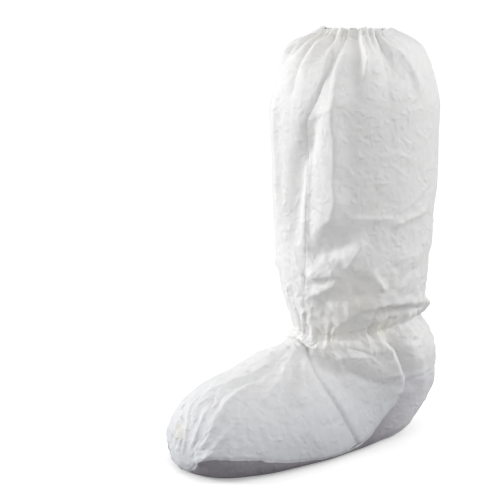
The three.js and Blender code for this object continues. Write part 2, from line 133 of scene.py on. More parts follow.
# Folds, each along a line of (station, angle) places. left and right are its widths on the two sides of the
# line, seen from outside as it runs on. height is above 0 for a ridge, and sharp goes from 0 for a soft fold
# to 1 for a crease.
FOLDS = {
    "columns": ("line", "left", "right", "height", "sharp"),
    # The rim and the shoulder, on the side that the photograph shows.
    "rim_near": ([(0.1, 0), (0.1, 57), (0.1, 114)], 14, 10, 3.6, 0),
    "rim_rib": ([(-1, 62), (0.5, 63), (1.5, 64), (2.5, 61)], 6, 4, 4.2, 0.7),
    "gather_valley": ([(-1, 56), (0.3, 57), (0.9, 57.5), (1.5, 58), (2.2, 58), (3, 56)], 4, 15, -6, 0.1),
    "front_shoulder": ([(0.3, 12), (1.2, 14), (2.2, 8)], 9, 9, 3, 0.1),
    "back_shoulder_hollow": ([(0.4, 74), (1.6, 86), (2.6, 91)], 12, 16, -4, 0),
    "back_slope_edge": ([(0.5, 84), (1.5, 98), (2.3, 104), (2.9, 102)], 12, 6, 3.5, 0.5),
    # The upper leg.
    "front_hollow": (
        [(2.3, 35), (3.2, 31), (4, 25), (4.6, 17), (5.5, 13), (6.4, 10), (7.3, 8)],
        10, 17, -6.5, 0,
    ),
    "side_crease": (
        [
            (1, 38), (1.9, 41), (2.7, 42.5), (3.3, 41), (3.9, 43), (4.85, 41.5),
            (5.4, 43), (5.85, 40), (6.2, 30), (6.65, 17),
        ],
        13, 19, 9, 0.4,
    ),
    "branch_crease": ([(3.5, 22), (3.2, 32), (2.95, 47)], 5, 3, 1.8, 0.8),
    "seam_shade_top": ([(0.9, 33), (2, 37), (3.3, 26)], 12, 4, -2.2, 0.5),
    "seam_shade_low": ([(3.3, 27), (4.2, 26), (5.4, 24), (6.4, 23), (7.3, 21)], 9, 6, -2.8, 0.2),
    "back_level_crease": ([(4.3, 70), (4.15, 84), (4.35, 100)], 3, 6, 1.2, 0.8),
    "level_crease": ([(5.8, 46), (5.85, 92)], 3, 7, 2, 0.8),
    "slant_crease": ([(6.1, 76), (5.65, 122)], 8, 6, 3, 0.6),
    "back_slant_crease": ([(5.75, 84), (5.35, 104), (5, 118)], 5, 4, 1.5, 0.8),
    "puff_under_slant": ([(6.7, 80), (7, 100), (6.8, 116)], 12, 12, 2, 0),
    "back_short_crease": ([(7.2, 67), (7.6, 74), (8.1, 82)], 4, 9, 3.4, 0.7),
    # The lower leg and the shin.
    "shadow_hollow": ([(7, 18), (6.75, 40), (6.35, 60)], 17, 8, -7, 0.1),
    "slant_ridge": ([(7.35, 49), (7.5, 33), (7.6, 16)], 5, 14, 5, 0.6),
    "s_fold_upper": ([(6.3, 65), (6.85, 56), (7.3, 48.5)], 8, 14, 6, 0.6),
    "s_fold_lower": ([(7.45, 48), (7.85, 38), (8.15, 27), (8.35, 14)], 5, 8, 4, 0.5),
    "s_fold_under": ([(8, 50), (8.45, 34), (8.75, 20)], 9, 10, -4, 0.1),
    "s_valley": ([(7.5, 44), (7.75, 32), (7.9, 17)], 5, 5, -3, 0.2),
    "pink_hollow": ([(7.2, 62), (7.9, 60), (8.4, 62)], 12, 12, -5, 0),
    "shin_fold_a": ([(7.4, 18), (7.7, 30), (7.6, 46)], 5, 4, 2.2, 0.6),
    "shin_fold_b": ([(7.8, 22), (8.3, 36), (8.2, 52)], 4, 5, 1.8, 0.6),
    "shin_fold_c": ([(8.4, 18), (8.9, 28), (8.9, 46)], 5, 5, 2, 0.5),
    "shin_upright": ([(7.8, 52), (8.4, 52), (9.05, 51)], 5, 5, 2.6, 0.6),
    "shin_blob_valley": ([(8.5, 22), (8.8, 34), (9.1, 46)], 7, 7, -3, 0.2),
    "left_shin_hook": ([(8, 4), (8.2, -6), (8.9, -10)], 5, 4, 2, 0.6),
    # The roll of cloth above the ankle.
    "cuff_lip": (
        [(9.2, 24), (9.35, 44), (8.75, 60), (8.5, 78), (8.55, 98), (8.75, 120), (9, 145)],
        10, 5, 4.5, 0.5,
    ),
    "cuff_hollow": ([(8.85, 56), (8.85, 78), (8.95, 98), (9.1, 120), (9.3, 140)], 7, 9, -13, 0.15),
    "back_overhang": ([(9, 96), (9.05, 165)], 14, 7, 4, 0.4),
    "ankle_groove": (
        [(10.1, 10), (10.3, 30), (10.25, 48), (9.9, 64), (9.5, 84), (9.45, 100), (9.6, 125)],
        6, 7, -5, 0.4,
    ),
    # The heel.
    "heel_puff": ([(10.55, 36), (10.6, 50), (10.5, 66)], 7, 8, 3.5, 0.2),
    "heel_hollow": ([(10.3, 83), (11.0, 91), (11.8, 93), (12.8, 95)], 11, 7, -17, 0.3),
    "heel_edge": ([(10.4, 70), (11, 80), (11.7, 84), (12.6, 87)], 7, 16, 5, 0.6),
    "heel_ridge": ([(12.4, 42), (12.1, 50), (11.5, 76)], 8, 6, 2.5, 0.5),
    "heel_crease": ([(12.9, 50), (12.7, 78)], 4, 7, -2, 0.6),
    "heel_fan_a": ([(11.3, 30), (12.4, 42), (13.3, 48)], 6, 4, 2, 0.7),
    "heel_fan_b": ([(11.6, 38), (12.4, 46), (13.3, 52)], 3.5, 4.5, 3.2, 0.8),
    "heel_fan_c": ([(11, 24), (12, 33), (13.2, 40)], 4, 6, 1.6, 0.6),
    "heel_fan_d": ([(11.1, 46), (11.35, 60), (11.7, 72)], 3, 5, -2.5, 0.7),
    "heel_low_fold": ([(12.7, 70), (12.3, 84), (12, 96)], 6, 5, 1.8, 0.5),
    "heel_back_fold": ([(11.2, 108), (11.9, 112), (12.5, 106)], 6, 7, 2, 0.4),
    # The vamp and the instep.
    "vamp_ridge_near": ([(13.9, 22), (14.7, 42), (15.6, 62)], 13, 10, 4, 0.3),
    "vamp_ridge_mid": ([(14.4, 16), (15.4, 34), (16.3, 46)], 10, 8, 3, 0.35),
    "vamp_valley": ([(14.2, 20), (15.9, 52)], 9, 9, -3, 0),
    "vamp_bright_a": ([(13.6, 10), (14.5, 20), (15.4, 36), (15.85, 50)], 6, 5, 2.2, 0.5),
    "vamp_bright_b": ([(13.2, 24), (14.25, 32), (14.7, 50)], 6, 5, 2, 0.5),
    "instep_line": (
        [(14.6, 8), (15.4, 13), (15.95, 14), (16.55, 8), (17.1, 2), (17.65, 1)],
        5, 7, 1.8, 0.6,
    ),
    "instep_band": ([(15.3, 20), (15.9, 22), (16.4, 20), (16.9, 12)], 5, 5, -1.8, 0.3),
    "instep_second": ([(15.65, 20), (16.25, 22), (16.8, 27), (17.25, 30)], 5, 5, 1.8, 0.6),
    "side_wrinkle_a": ([(15.7, 60), (15.65, 72), (15.6, 82)], 5, 4, 1.3, 0.6),
    "side_wrinkle_b": ([(15.1, 66), (15.1, 78), (15.1, 88)], 4, 5, 1.3, 0.6),
    "side_wrinkle_c": ([(16.4, 57), (16.35, 70), (16.25, 82)], 5, 4, 1.2, 0.6),
    # The toe.
    "toe_ridge": ([(16.4, 20), (17.3, 31), (18, 42)], 9, 7, 2.5, 0.4),
    "toe_corner": ([(17.9, 66), (18.9, 71), (19.3, 66)], 8, 7, 3, 0.4),
    "toe_wrinkle_a": ([(16.9, 28), (17.7, 40), (18.3, 50), (19.1, 58)], 4, 5, 1.7, 0.5),
    "toe_wrinkle_b": ([(16.5, 42), (17.4, 54), (18, 62), (18.9, 68)], 4, 5, 1.6, 0.5),
    "toe_wrinkle_c": ([(17.75, 58), (18.3, 68), (18.9, 74), (19.3, 72)], 5, 3, 2, 0.6),
    "toe_wrinkle_d": ([(17.4, -8), (18.1, 2), (18.65, 14), (19.4, 24)], 4, 4, 1.5, 0.5),
    "toe_wrinkle_e": ([(17.3, 16), (18.2, 28), (19.1, 44)], 4, 4, 1.5, 0.5),
    "toe_wrinkle_f": ([(18.2, -18), (18.8, -8), (19.5, 14)], 4, 4, 1.4, 0.5),
    # The back.
    "calf_hollow": ([(3.6, 164), (6.8, 178)], 24, 24, -6, 0),
    "calf_ridge": ([(5.4, 150), (8.2, 172)], 14, 11, 4, 0.3),
    "back_level": ([(6.2, 140), (6.4, 170), (6, 200)], 5, 6, 2, 0.6),
    # The far side, which the photograph doesn't show.
    "rim_far": ([(0.1, -180), (0.1, -123), (0.1, -66)], 14, 10, -3, 0),
    "far_rim_valley": ([(-1, -8), (0.5, -8), (1.7, -14)], 5, 6, -4, 0.3),
    "far_rim_ridge": ([(0.2, -20), (1, -18), (1.8, -24)], 6, 5, 3.5, 0.3),
    "shoulder_puff": ([(0.5, -58), (1.9, -22)], 17, 17, 5, 0),
    "shoulder_hollow": ([(1.9, -58), (3.1, -22)], 16, 16, -4, 0),
    "far_front_ridge": ([(2.4, -8), (4.2, -10), (6.6, -9)], 8, 12, 3.5, 0.2),
    "far_crease": ([(1.4, -62), (5.4, -74)], 16, 13, 4, 0.3),
    "far_hollow": ([(3.2, -118), (7.2, -104)], 22, 22, -6, 0),
    "far_level": ([(5.2, -60), (5.5, -96), (5.2, -130)], 6, 4, 1.6, 0.7),
    "far_slant": ([(6.2, -40), (7.6, -96)], 13, 9, 4, 0.4),
    "far_shin_a": ([(7.2, -20), (7.9, -44), (7.6, -66)], 6, 5, 2.4, 0.5),
    "far_cuff": ([(8.7, -48), (8.8, -112)], 12, 12, -4.5, 0),
    "far_cuff_lip": ([(9.1, -20), (9.2, -60), (8.9, -100), (9.1, -150)], 5, 10, 2.8, 0.4),
    "far_heel_hollow": ([(10.4, -94), (12.2, -88)], 12, 15, -7, 0.1),
    "far_heel_fan": ([(11.2, -28), (12.6, -44), (13.4, -60)], 5, 7, 2.2, 0.6),
    "far_heel_low": ([(11.6, -110), (12.4, -100), (13, -84)], 6, 6, 1.8, 0.5),
    "far_vamp_ridge": ([(13.9, -22), (15.8, -58)], 10, 13, 4, 0.3),
    "far_vamp_a": ([(14.2, -12), (15.6, -34), (16.4, -50)], 5, 7, 2.2, 0.5),
    "far_vamp_b": ([(16.2, -10), (17.2, -24), (18.4, -40)], 5, 5, 1.8, 0.5),
}

# Short creases strewn over a part of the surface. tilt is from the way along the boot, give or take turn.
STREWN = {
    "columns": (
        "at_low", "at_high", "angle_low", "angle_high",
        "count", "long", "tilt", "turn", "width", "height",
    ),
    "leg": (1.6, 7.4, -180, 180, 70, 30, 75, 30, 2.4, 0.6),
    "shin": (7.0, 9.2, -180, 180, 90, 22, 55, 60, 2.2, 1.0),
    "shin_front": (7.3, 9.7, 4, 62, 100, 14, 40, 60, 1.5, 0.9),
    "ankle_above": (8.9, 9.9, 18, 320, 120, 13, 0, 30, 2.0, 1.3),
    "ankle_below": (10.1, 11.4, 18, 320, 120, 16, 0, 30, 2.0, 1.3),
    "heel": (11.4, 13.6, -130, 130, 70, 20, 45, 60, 2.2, 0.8),
    "vamp": (14.2, 17.0, -78, 78, 100, 24, 25, 45, 2.2, 0.7),
    "toe": (17.0, 19.4, -90, 90, 90, 20, 20, 35, 2.0, 0.8),
}

# The valley that each seam lies in, and the puckers across it. every is the way to the next pucker.
SEAM_VALLEYS = {
    "columns": ("seam", "left", "right", "height"),
    "front": ("front", 2.6, 2.6, -0.9),
    "slant": ("slant", 3.0, 2.4, -2.6),
    "sole": ("sole", 2.6, 2.6, -1.6),
    "hem": ("hem", 1.6, 1.6, -0.7),
}
PUCKERS = {
    "columns": ("seam", "every", "long", "height"),
    "front": ("front", 9, 5, 0.55),
    "slant": ("slant", 7, 6, 0.7),
    "sole": ("sole", 7, 6, 0.6),
}

# Rows of upright ruffles that the two elastics draw up. Their number goes down with the distance from the
# elastic. above and below are how far a row reaches, in stations.
RUFFLES = {
    "columns": ("at", "above", "below", "count", "phase", "height"),
    "rim_fine": (0.25, 0.6, 0.75, 37, 0.4, 2.0),
    "rim_middle": (0.75, 0.7, 0.9, 22, 1.1, 1.7),
    "rim_wide": (1.2, 0.9, 1.5, 12, 1.9, 1.9),
    "ankle_fine": (10.0, 0.45, 0.45, 52, 0.9, 1.5),
    "ankle_middle": (9.75, 0.6, 0.9, 29, 2.2, 1.7),
    "ankle_wide": (9.2, 0.8, 1.2, 14, 2.6, 1.6),
}

# Spots of yellow tint, partly the elastic's own yellowish tone near the elastics and partly painted warm
# light bounced in the deep gathers and folds: the middle of each spot, its size and its amount.
WARM_SPOTS = {
    "columns": ("at", "angle", "size", "amount"),
    "rim": (0.3, 20, 30, 0.5),
    "ankle_front": (9.9, 40, 18, 0.5),
    "ankle_side": (9.7, 84, 18, 0.8),
    "ankle_far": (9.8, -80, 24, 0.8),
    "shin": (8.3, 58, 24, 0.5),
    "toe": (18.85, 0, 10, 0.8),
}

# How strongly the cloth is crumpled at a station.
CRUMPLED = {
    "columns": ("at", "amount"),
    "rim": (0.0, 0.7),
    "shoulder": (1.5, 0.5),
    "calf": (3.5, 0.35),
    "mid_leg": (5.5, 0.6),
    "shin": (7.4, 1.1),
    "overhang": (9.2, 1.3),
    "below_ankle": (10.8, 1.2),
    "heel": (12.5, 0.9),
    "vamp": (15.0, 0.8),
    "toes": (17.5, 0.9),
    "toe": (20.0, 0.9),
}
# Layers of crumpling: the size of a facet, its height, and how far creases take over from soft dents.
CRUMPLE_LAYERS = {
    "columns": ("size", "height", "creased", "seed"),
    "dents": (62.0, 2.4, 0.2, 11),
    "facets": (30.0, 2.0, 0.8, 12),
    "creases": (15.0, 1.4, 0.85, 13),
    "fine": (8.0, 0.65, 0.85, 14),
}

# Steps over which the smooth surface's directions are measured, in stations and in degrees.
STATION_STEP = 0.04
ANGLE_STEP = 2.0

# How a fold falls off from its line, how far it is reckoned, and the share of its length over which it fades.
SOFT_FALL, SHARP_FALL = 1.6, 2.2
FOLD_REACH = 2.2
FOLD_FADE = 0.3

STREWN_SEED, PUCKER_SEED = 5, 8
WANDER = {"size": 45, "reach": 9, "seeds": (21, 22, 23)}
NOISE_DIRECTIONS = 256

# The front of the ankle, where the ruffles are weaker.
SMOOTH_FRONT = {"below": 5, "angle": -10, "width": 22, "share": 0.8}
# The folds fade out towards the floor, from this height and over that one, in millimetres.
FLAT_BELOW, FLAT_FADE = 1.5, 6


def named_rows(rows):
    """Each row of a table of named rows as a dictionary."""
    return [dict(zip(rows["columns"], row)) for name, row in rows.items() if name != "columns"]


def table(rows):
    """The columns of a table of named rows, as arrays by name."""
    names = rows["columns"]
    values = np.array([row for name, row in rows.items() if name != "columns"], float)
    return {name: values[:, i] for i, name in enumerate(names)}


def tangents(x, y):
    """Slopes at a table's rows for a cubic that never overshoots them."""
    span = np.diff(x)
    slope = np.diff(y) / span
    result = np.empty_like(y)
    result[0], result[-1] = slope[0], slope[-1]
    before, after = slope[:-1], slope[1:]
    a, b = 2 * span[1:] + span[:-1], span[1:] + 2 * span[:-1]
    turning = before * after <= 0
    safe_before = np.where(turning, 1.0, before)
    safe_after = np.where(turning, 1.0, after)
    result[1:-1] = np.where(turning, 0.0, (a + b) / (a / safe_before + b / safe_after))
    return result


def column(columns, name, at):
    """The value of a table's column at a station."""
    x, y = columns["at"], columns[name]
    m = tangents(x, y)
    i = np.clip(np.searchsorted(x, at, side="right") - 1, 0, len(x) - 2)
    h = x[i + 1] - x[i]
    t = np.clip((at - x[i]) / h, 0, 1)
    return (
        y[i] * (1 + 2 * t) * (1 - t) ** 2
        + h * m[i] * t * (1 - t) ** 2
        + y[i + 1] * t * t * (3 - 2 * t)
        + h * m[i + 1] * t * t * (t - 1)
    )


SECTION_COLUMNS = table(SECTIONS)
SOLE_COLUMNS = table(SOLE_SPREAD)
SEAM_COLUMNS = table(FRONT_SEAM)
CRUMPLE_COLUMNS = table(CRUMPLED)


def section(name, at):
    return column(SECTION_COLUMNS, name, at)


def smooth_point(at, angle):
    """A point of the smooth outer surface. angle is in degrees from the front, positive on the +X side."""
    at, angle = np.broadcast_arrays(np.asarray(at, float), np.asarray(angle, float))
    c, n = np.cos(np.radians(angle)), np.sin(np.radians(angle))
    front = c >= 0
    power = 2 / np.where(front, section("front_round", at), section("back_round", at))
    along, across = np.abs(c) ** power, np.abs(n) ** power
    widest = section("widest", at)
    share = np.where(front, widest * (1 - along), widest + (1 - widest) * along)
    front_y, front_z = section("front_y", at), section("front_z", at)
    return np.stack(
        [
            section("half", at) * np.sign(n) * across,
            ORIGIN_BACK - (front_y + (section("back_y", at) - front_y) * share),
            front_z + (section("back_z", at) - front_z) * share,
        ],
        axis=-1,
    )


def length(vectors):
    return np.linalg.norm(vectors, axis=-1)


def unit(vectors):
    return vectors / np.maximum(length(vectors), 1e-9)[..., None]


def frame_at(at, angle):
    """Millimetres per station and per degree, and the outward normal, of the smooth surface."""
    at, angle = np.broadcast_arrays(np.asarray(at, float), np.asarray(angle, float))
    low, high = np.maximum(at - STATION_STEP, 0.0), np.minimum(at + STATION_STEP, TOE)
    along = smooth_point(high, angle) - smooth_point(low, angle)
    around = smooth_point(at, angle + ANGLE_STEP) - smooth_point(at, angle - ANGLE_STEP)
    return length(along) / (high - low), length(around) / (2 * ANGLE_STEP), unit(np.cross(along, around))


def smoothstep(t):
    t = np.clip(t, 0, 1)
    return t * t * (3 - 2 * t)


def dense_line(places, step=0.125):
    """Points of the smooth surface along a line of (station, angle) places."""
    places = np.array(places, float)
    knots = np.arange(len(places))
    t = np.arange(0, len(places) - 1 + 1e-6, step)
    return smooth_point(np.interp(t, knots, places[:, 0]), np.interp(t, knots, places[:, 1]))


def add_fold(relief, points, normals, line, fold):
    """Adds one fold to the relief of the points that are near its line."""
    reach = FOLD_REACH * max(fold["left"], fold["right"])
    near = np.all((points > line.min(0) - reach) & (points < line.max(0) + reach), axis=1)
    if not near.any():
        return
    p, n = points[near], normals[near]
    best = np.full(len(p), np.inf)
    share = np.zeros(len(p))
    side = np.zeros(len(p))
    count = len(line) - 1
    for i in range(count):
        tangent = line[i + 1] - line[i]
        t = np.clip(((p - line[i]) @ tangent) / max(tangent @ tangent, 1e-9), 0, 1)
        away = p - (line[i] + t[:, None] * tangent)
        distance = length(away)
        closer = distance < best
        best = np.where(closer, distance, best)
        share = np.where(closer, (i + t) / count, share)
        rightwards = np.einsum("ij,ij->i", np.cross(tangent, n), away)
        side = np.where(closer, rightwards, side)
    width = np.where(side > 0, fold["right"], fold["left"])
    t = best / width
    soft, sharp = np.exp(-SOFT_FALL * t * t), np.exp(-SHARP_FALL * t)
    profile = (1 - fold["sharp"]) * soft + fold["sharp"] * sharp
    fade = smoothstep(np.minimum(share, 1 - share) / fold.get("fade", FOLD_FADE))
    relief[near] += fold["height"] * profile * fade


def short_fold(chance, line, width, widths, height, heights):
    """A short crease or ridge, of a width and a height that vary between the given shares."""
    return {
        "line": line,
        "left": width * chance.uniform(*widths),
        "right": width * chance.uniform(*widths),
        "height": height * chance.uniform(*heights) * chance.choice([1, 1, -1]),
    }


def strewn_folds():
    """The short creases as folds, at places that are the same in every run."""
    chance = np.random.default_rng(STREWN_SEED)
    folds = []
    for area in named_rows(STREWN):
        for _ in range(area["count"]):
            at = chance.uniform(area["at_low"], area["at_high"])
            angle = chance.uniform(area["angle_low"], area["angle_high"])
            tilt = math.radians(area["tilt"] * chance.choice([-1, 1]) + chance.normal(0, area["turn"] / 2))
            reach = area["long"] * chance.uniform(0.6, 1.4) / 2
            per_station, per_degree, _ = frame_at(at, angle)
            step = reach * math.cos(tilt) / per_station
            turn = reach * math.sin(tilt) / max(per_degree, 0.2)
            bow = chance.normal(0, 0.15)
            middle_at = at + bow * turn * per_degree / per_station
            middle_angle = angle - bow * step * per_station / per_degree
            line = [(at - step, angle - turn), (middle_at, middle_angle), (at + step, angle + turn)]
            fold = short_fold(chance, line, area["width"], (0.7, 1.6), area["height"], (0.5, 1.5))
            folds.append(dict(fold, sharp=chance.uniform(0.4, 0.9), fade=0.45))
    return folds


def front_seam_angle(at):
    return column(SEAM_COLUMNS, "angle", at)


def slant_station(angle):
    return SLANT["station"] - SLANT["rise"] * np.exp(-((angle / SLANT["width"]) ** 2))


def beside_slant(angle, towards_toe):
    seam = slant_station(angle)
    per_station, per_degree, _ = frame_at(seam, angle)
    slope = (slant_station(angle + 1) - slant_station(angle - 1)) / 2 * per_station / per_degree
    return seam + towards_toe * np.hypot(1, slope) / per_station


def sole_half_angle(at, outwards):
    """Half the angle that the sole takes up at a station, for an edge moved outwards by some millimetres."""
    reach = outwards / frame_at(np.clip(at, 12, 19.5), 180.0)[0]

    def end(edge, inside):
        share = np.clip(inside / edge["round"], 0, 1)
        return np.sqrt(1 - (1 - share) ** 2)

    heel = end(SOLE_HEEL_END, at - (SOLE_HEEL_END["at"] - reach))
    toe = end(SOLE_TOE_END, SOLE_TOE_END["at"] + reach - at)
    angle = column(SOLE_COLUMNS, "spread", at)
    per_degree = frame_at(at, 180 - angle)[1]
    return (angle + outwards / per_degree) * heel * toe


def sole_station(row, outwards):
    def moved(edge):
        return outwards / frame_at(edge["at"], 180.0)[0]

    share = (1 - np.cos(np.pi * row / SOLE_ROWS)) / 2
    start = SOLE_HEEL_END["at"] - moved(SOLE_HEEL_END)
    stop = SOLE_TOE_END["at"] + moved(SOLE_TOE_END)
    return start + (stop - start) * share


def upper_half_angle(at, slot):
    sole = sole_half_angle(at, slot)
    return np.where(sole > 0.01, 180 - sole, 180.0)


def seam_lines():
    """The seams, and the hem's stitched edge, as lines of (station, angle) places."""
    at = np.linspace(CASING_EDGE, ANKLE, 60)
    reach = 180 - sole_half_angle(np.array([SLANT["station"]]), 0.0)[0]
    across = np.linspace(-reach, reach, 60)
    row = np.linspace(-SOLE_ROWS + 0.01, SOLE_ROWS - 0.01, 110)
    sole_at = sole_station(np.abs(row), 0.0)
    round_turn = np.linspace(-180, 180, 60)
    return {
        "front": np.stack([at, front_seam_angle(at)], axis=-1),
        "slant": np.stack([slant_station(across), across], axis=-1),
        "sole": np.stack([sole_at, 180 + np.sign(row) * sole_half_angle(sole_at, 0.0)], axis=-1),
        "hem": np.stack([np.full(60, CASING_EDGE + 0.02), round_turn], axis=-1),
    }


def seam_folds():
    """The shallow valley that each seam lies in."""
    return [
        dict(area, line=SEAM_LINES[area["seam"]], sharp=0.5, fade=0.004)
        for area in named_rows(SEAM_VALLEYS)
    ]


def pucker_folds():
    """Short creases that cross the seams where the thread draws them up."""
    chance = np.random.default_rng(PUCKER_SEED)
    folds = []
    for area in named_rows(PUCKERS):
        seam = SEAM_LINES[area["seam"]]
        points = smooth_point(seam[:, 0], seam[:, 1])
        travelled = np.concatenate([[0], np.cumsum(length(np.diff(points, axis=0)))])
        place = chance.uniform(0, area["every"])
        while place < travelled[-1]:
            at, angle = (np.interp(place, travelled, seam[:, k]) for k in (0, 1))
            ahead = [np.interp(place + 1, travelled, seam[:, k]) for k in (0, 1)]
            per_station, per_degree, _ = frame_at(at, angle)
            along, around = (ahead[0] - at) * per_station, (ahead[1] - angle) * per_degree
            size = max(math.hypot(along, around), 1e-6)
            turn = chance.normal(0, 0.35)
            across_at = (-around / size + turn * along / size) / per_station
            across_angle = (along / size + turn * around / size) / per_degree
            reach = area["long"] * chance.uniform(0.6, 1.4)
            shift = reach * chance.uniform(-0.4, 0.4)
            steps = (shift - reach, shift, shift + reach)
            line = [(at + step * across_at, angle + step * across_angle) for step in steps]
            fold = short_fold(chance, line, 1, (1.6, 3.0), area["height"], (0.5, 1.4))
            folds.append(dict(fold, sharp=0.6, fade=0.5))
            place += area["every"] * chance.uniform(0.6, 1.5)
    return folds


SEAM_LINES = seam_lines()
FOLD_LINES = [(dense_line(fold["line"]), fold) for fold in named_rows(FOLDS)]
FOLD_LINES += [(dense_line(fold["line"], 0.5), fold) for fold in strewn_folds() + pucker_folds()]
FOLD_LINES += [(dense_line(fold["line"], 1.0), fold) for fold in seam_folds()]


def gradient_noise(points, seed):
    """Smooth noise from about -1 to 1 in space."""
    chance = np.random.default_rng(seed)
    order = chance.permutation(NOISE_DIRECTIONS)
    directions = unit(chance.normal(size=(NOISE_DIRECTIONS, 3)))
    cell = np.floor(points).astype(int)
    within = points - cell
    fade = within**3 * (within * (within * 6 - 15) + 10)
    total = np.zeros(points.shape[:-1])
    for corner in np.ndindex(2, 2, 2):
        index = (cell + corner) % NOISE_DIRECTIONS
        key = order[index[..., 0]]
        for k in (1, 2):
            key = order[(key + index[..., k]) % NOISE_DIRECTIONS]
        slope = ((within - corner) * directions[key]).sum(-1)
        weight = np.where(np.array(corner) == 1, fade, 1 - fade).prod(-1)
        total += weight * slope
    return 1.6 * total


def crumple_relief(at, points):
    """Dents and creases of crumpled cloth, wandering a little so that no line is straight for long."""
    wander = np.stack([gradient_noise(points / WANDER["size"], seed) for seed in WANDER["seeds"]], axis=-1)
    place = points + WANDER["reach"] * wander
    total = np.zeros(len(points))
    for layer in named_rows(CRUMPLE_LAYERS):
        creased = layer["creased"]
        noise = gradient_noise(place / layer["size"], layer["seed"])
        ridges = 0.55 - 1.6 * np.abs(noise)
        hollows = 1.6 * np.abs(gradient_noise(place / layer["size"] + 7.3, layer["seed"])) - 0.55
        total += layer["height"] * ((1 - creased) * noise + creased * 0.5 * (ridges + hollows))
    return total * column(CRUMPLE_COLUMNS, "amount", at)


def ruffle_relief(at, angle):
    """Ruffles drawn up by the elastics: round ribs with narrow valleys between them, unevenly spaced."""
    turn = np.radians(angle)
    drift = 0.09 * np.sin(3 * turn + 0.7) + 0.06 * np.sin(7 * turn + 2.1) + 0.035 * np.sin(13 * turn + 4.0)
    strength = 1 + 0.45 * np.sin(5 * turn + 1.3) + 0.3 * np.sin(11 * turn + 0.2)
    in_front = np.exp(-(((angle - SMOOTH_FRONT["angle"]) / SMOOTH_FRONT["width"]) ** 2))
    strength = strength * (1 - SMOOTH_FRONT["share"] * np.where(at > SMOOTH_FRONT["below"], in_front, 0.0))
    total = np.zeros_like(turn)
    for row in named_rows(RUFFLES):
        away = at - row["at"]
        reach = np.where(away < 0, row["above"], row["below"])
        fade = np.exp(-((away / reach) ** 2))
        wave = np.abs(np.sin(row["count"] * (turn + drift) / 2 + row["phase"]))
        total += row["height"] * fade * strength * (1.7 * wave**0.8 - 1.1)
    return total


def surface(at, angle, offset=0.0):
    """Points of the folded cloth at an offset outwards from it. Nothing reaches below the floor."""
    at, angle = np.broadcast_arrays(np.asarray(at, float), np.asarray(angle, float))
    shape = at.shape
    at, angle = at.ravel(), angle.ravel()
    points = smooth_point(at, angle)
    normals = frame_at(at, angle)[2]
    raised = np.zeros(len(points))
    for line, fold in FOLD_LINES:
        add_fold(raised, points, normals, line, fold)
    raised += ruffle_relief(at, angle) + crumple_relief(at, points)
    raised *= smoothstep((points[:, 2] - FLAT_BELOW) / FLAT_FADE)
    lift = raised + np.broadcast_to(offset, shape).ravel()
    points = points + normals * lift[:, None]
    points[:, 2] = np.maximum(points[:, 2], 0.0)
    return points.reshape(*shape, 3)


# Meshes

UV_SCALE = 0.01  # texture units to a millimetre of cloth
WELD_DISTANCE = 0.02
SHARP_ANGLE = 65


def warm_amount(points):
    """How strongly the yellow tint shows at some points, from 0 to 1: partly painted warm bounce light."""
    total = np.zeros(len(points))
    for spot in named_rows(WARM_SPOTS):
        away = length(points - smooth_point(spot["at"], spot["angle"]))
        total += spot["amount"] * np.exp(-((away / spot["size"]) ** 2))
    return np.clip(total, 0, 1)


def new_object(name, vertices, faces, uvs=None, material=None):
    """A smooth-shaded object from vertices in millimetres. uvs holds one (u, v) for each, in millimetres."""
    mesh = bpy.data.meshes.new(name)
    mesh.from_pydata((np.asarray(vertices) * METRE).tolist(), [], faces)
    mesh.validate()
    mesh.shade_smooth()
    if uvs is not None:
        layer = mesh.uv_layers.new(name="cloth")
        corner = np.empty(len(mesh.loops), dtype=np.int32)
        mesh.loops.foreach_get("vertex_index", corner)
        layer.data.foreach_set("uv", (np.asarray(uvs)[corner] * UV_SCALE).ravel())
        warm = mesh.attributes.new("warm", "FLOAT", "POINT")
        warm.data.foreach_set("value", warm_amount(np.asarray(vertices)))
    obj = bpy.data.objects.new(name, mesh)
    bpy.context.scene.collection.objects.link(obj)
    if material:
        mesh.materials.append(material)
    return obj


def cloth_uvs(at, angle):
    """Places on the cloth laid flat: round the boot from the front, and along it from the first row."""
    smooth = smooth_point(at, angle)
    around = np.zeros(at.shape)
    around[:, 1:] = np.cumsum(length(np.diff(smooth, axis=1)), axis=1)
    front = np.abs(angle).argmin(axis=1)
    around -= np.take_along_axis(around, front[:, None], axis=1)
    along = np.zeros(at.shape)
    along[1:] = np.cumsum(length(np.diff(smooth, axis=0)), axis=0)
    return np.stack([around, along], axis=-1)


def grid_faces(rows, columns, start, turned):
    """Quads over a grid of vertices."""
    index = start + np.arange(rows * columns).reshape(rows, columns)
    corners = [index[:-1, :-1], index[1:, :-1], index[1:, 1:], index[:-1, 1:]]
    quads = np.stack(corners, axis=-1).reshape(-1, 4)
    return quads[:, ::-1] if turned else quads


def edge_faces(rows, columns):
    """Quads that join the edges of two equal grids, the second one after the first."""
    index = np.arange(rows * columns).reshape(rows, columns)
    ring = np.concatenate([index[0, :-1], index[:-1, -1], index[-1, :0:-1], index[:0:-1, 0]])
    after = np.roll(ring, -1)
    other = rows * columns
    return np.stack([ring, after, after + other, ring + other], axis=-1)


def two_skins(name, outer, inner, uv, material, turned=False):
    """An object of an outer and an inner grid of points, joined at their edges."""
    rows, columns = outer.shape[:2]
    edges = edge_faces(rows, columns)
    skins = grid_faces(rows, columns, 0, turned), grid_faces(rows, columns, rows * columns, not turned)
    faces = np.concatenate([*skins, edges[:, ::-1] if turned else edges])
    vertices = np.concatenate([outer.reshape(-1, 3), inner.reshape(-1, 3)])
    uvs = np.concatenate([uv.reshape(-1, 2)] * 2)
    obj = new_object(name, vertices, faces.tolist(), uvs, material)
    weld(obj)
    return obj


